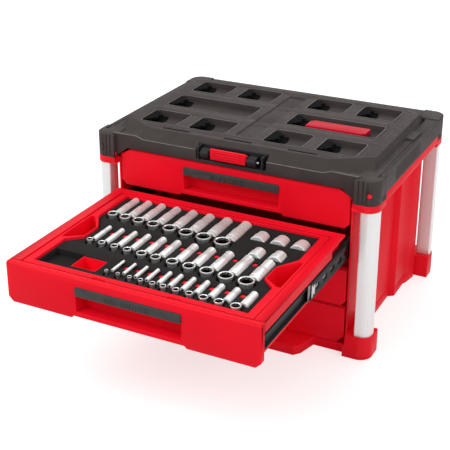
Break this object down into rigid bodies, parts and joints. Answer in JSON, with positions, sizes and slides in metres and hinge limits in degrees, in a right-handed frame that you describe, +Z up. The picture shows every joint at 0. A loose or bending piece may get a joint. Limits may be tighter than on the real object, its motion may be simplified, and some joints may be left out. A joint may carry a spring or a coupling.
{
  "type": "socket organizer drawer box",
  "caption": "Stackable moulded drawer box with corner posts, a cleated lid and ball-slide drawers, one pulled out with a foam tray of chrome sockets.",
  "frame": {"origin": "on the floor under the middle of the four feet", "axes": "+Z up, -Y is the front that the drawers open towards, +X to the right of someone facing the front"},
  "size_m": [0.564, 0.7648, 0.363],
  "materials": {
    "red_plastic": "satin moulded plastic",
    "badge": "smooth",
    "lid_plastic": "fine grained",
    "black_plastic": "satin",
    "post_aluminium": "brushed and anodised",
    "steel": "zinc plated",
    "black_steel": "semi-gloss",
    "cage_steel": "bright",
    "grip_rubber": "matt",
    "foam": "closed-cell foam, matt",
    "chrome": "polished"
  },
  "bodies": {
    "cabinet": {"base_frame": "red_plastic", "side_wall_left": "red_plastic", "side_wall_right": "red_plastic", "back_wall": "red_plastic", "top_deck": "red_plastic", "lid": "lid_plastic", "lid_pan_front": "lid_plastic", "lid_pan_middle": "lid_plastic", "lid_pan_rear": "lid_plastic", "lid_badge": "badge", "post_front_left": "post_aluminium", "post_front_right": "post_aluminium", "post_rear_left": "post_aluminium", "post_rear_right": "post_aluminium", "tie_rods": "steel", "lid_pins": "red_plastic", "lid_screws": "steel", "slide_screws": "steel", "latch_bracket": "black_plastic", "latch_screws": "steel", "latch_pin": "steel", "release_pin": "steel", "release_spring": "steel", "slide_outer_1": "black_steel", "slide_outer_2": "black_steel", "slide_outer_3": "black_steel", "slide_outer_4": "black_steel"},
    "latch": {"latch_flap": "red_plastic"},
    "release": {"release_lever": "red_plastic"},
    "slide_middle_1": {"slide_mid_1": "black_steel"},
    "drawer_1": {"slide_inner_1": "black_steel", "drawer_shell_1": "red_plastic", "drawer_grip_1": "grip_rubber"},
    "ball_cages_1": {"ball_cage_1": "cage_steel"},
    "slide_middle_2": {"slide_mid_2": "black_steel"},
    "drawer_2": {"slide_inner_2": "black_steel", "drawer_shell_2": "red_plastic", "drawer_grip_2": "grip_rubber", "tray_insert": "red_plastic", "foam_insert": "foam", "sockets_back_short": "chrome", "sockets_back_deep": "chrome", "sockets_large": "chrome", "sockets_mid_short": "chrome", "sockets_mid_deep": "chrome", "sockets_front_short": "chrome", "sockets_front_deep": "chrome"},
    "ball_cages_2": {"ball_cage_2": "cage_steel"},
    "slide_middle_3": {"slide_mid_3": "black_steel"},
    "drawer_3": {"slide_inner_3": "black_steel", "drawer_shell_3": "red_plastic", "drawer_grip_3": "grip_rubber"},
    "ball_cages_3": {"ball_cage_3": "cage_steel"},
    "slide_middle_4": {"slide_mid_4": "black_steel"},
    "drawer_4": {"slide_inner_4": "black_steel", "drawer_shell_4": "red_plastic", "drawer_grip_4": "grip_rubber"},
    "ball_cages_4": {"ball_cage_4": "cage_steel"}
  },
  "joints": [
    {"name": "drawer_1_slide", "type": "slide", "parent": "cabinet", "child": "drawer_1", "axis": [0, -1, 0], "range_m": [0, 0.36]},
    {"name": "slide_middle_1_slide", "type": "slide", "parent": "cabinet", "child": "slide_middle_1", "axis": [0, -1, 0], "range_m": [0, 0.18]},
    {"name": "ball_cages_1_slide", "type": "slide", "parent": "cabinet", "child": "ball_cages_1", "axis": [0, -1, 0], "range_m": [0, 0.27]},
    {"name": "drawer_2_slide", "type": "slide", "parent": "cabinet", "child": "drawer_2", "axis": [0, -1, 0], "range_m": [-0.36, 0]},
    {"name": "slide_middle_2_slide", "type": "slide", "parent": "cabinet", "child": "slide_middle_2", "axis": [0, -1, 0], "range_m": [-0.18, 0]},
    {"name": "ball_cages_2_slide", "type": "slide", "parent": "cabinet", "child": "ball_cages_2", "axis": [0, -1, 0], "range_m": [-0.27, 0]},
    {"name": "drawer_3_slide", "type": "slide", "parent": "cabinet", "child": "drawer_3", "axis": [0, -1, 0], "range_m": [0, 0.36]},
    {"name": "slide_middle_3_slide", "type": "slide", "parent": "cabinet", "child": "slide_middle_3", "axis": [0, -1, 0], "range_m": [0, 0.18]},
    {"name": "ball_cages_3_slide", "type": "slide", "parent": "cabinet", "child": "ball_cages_3", "axis": [0, -1, 0], "range_m": [0, 0.27]},
    {"name": "drawer_4_slide", "type": "slide", "parent": "cabinet", "child": "drawer_4", "axis": [0, -1, 0], "range_m": [0, 0.36]},
    {"name": "slide_middle_4_slide", "type": "slide", "parent": "cabinet", "child": "slide_middle_4", "axis": [0, -1, 0], "range_m": [0, 0.18]},
    {"name": "ball_cages_4_slide", "type": "slide", "parent": "cabinet", "child": "ball_cages_4", "axis": [0, -1, 0], "range_m": [0, 0.27]},
    {"name": "latch_hinge", "type": "hinge", "parent": "cabinet", "child": "latch", "pos_m": [0, -0.197, 0.341], "axis": [1, 0, 0], "range_deg": [0, 45]},
    {"name": "release_hinge", "type": "hinge", "parent": "cabinet", "child": "release", "pos_m": [0, -0.208, 0.013], "axis": [1, 0, 0], "range_deg": [0, 12], "stiffness_Nm_per_rad": 0.4, "springref_deg": -11.46, "deforming": ["release_spring"]}
  ],
  "couplings": [
    {"joint": "slide_middle_1_slide", "follows": "drawer_1_slide", "ratio": 0.5},
    {"joint": "ball_cages_1_slide", "follows": "drawer_1_slide", "ratio": 0.75},
    {"joint": "slide_middle_2_slide", "follows": "drawer_2_slide", "ratio": 0.5},
    {"joint": "ball_cages_2_slide", "follows": "drawer_2_slide", "ratio": 0.75},
    {"joint": "slide_middle_3_slide", "follows": "drawer_3_slide", "ratio": 0.5},
    {"joint": "ball_cages_3_slide", "follows": "drawer_3_slide", "ratio": 0.75},
    {"joint": "slide_middle_4_slide", "follows": "drawer_4_slide", "ratio": 0.5},
    {"joint": "ball_cages_4_slide", "follows": "drawer_4_slide", "ratio": 0.75}
  ]
}
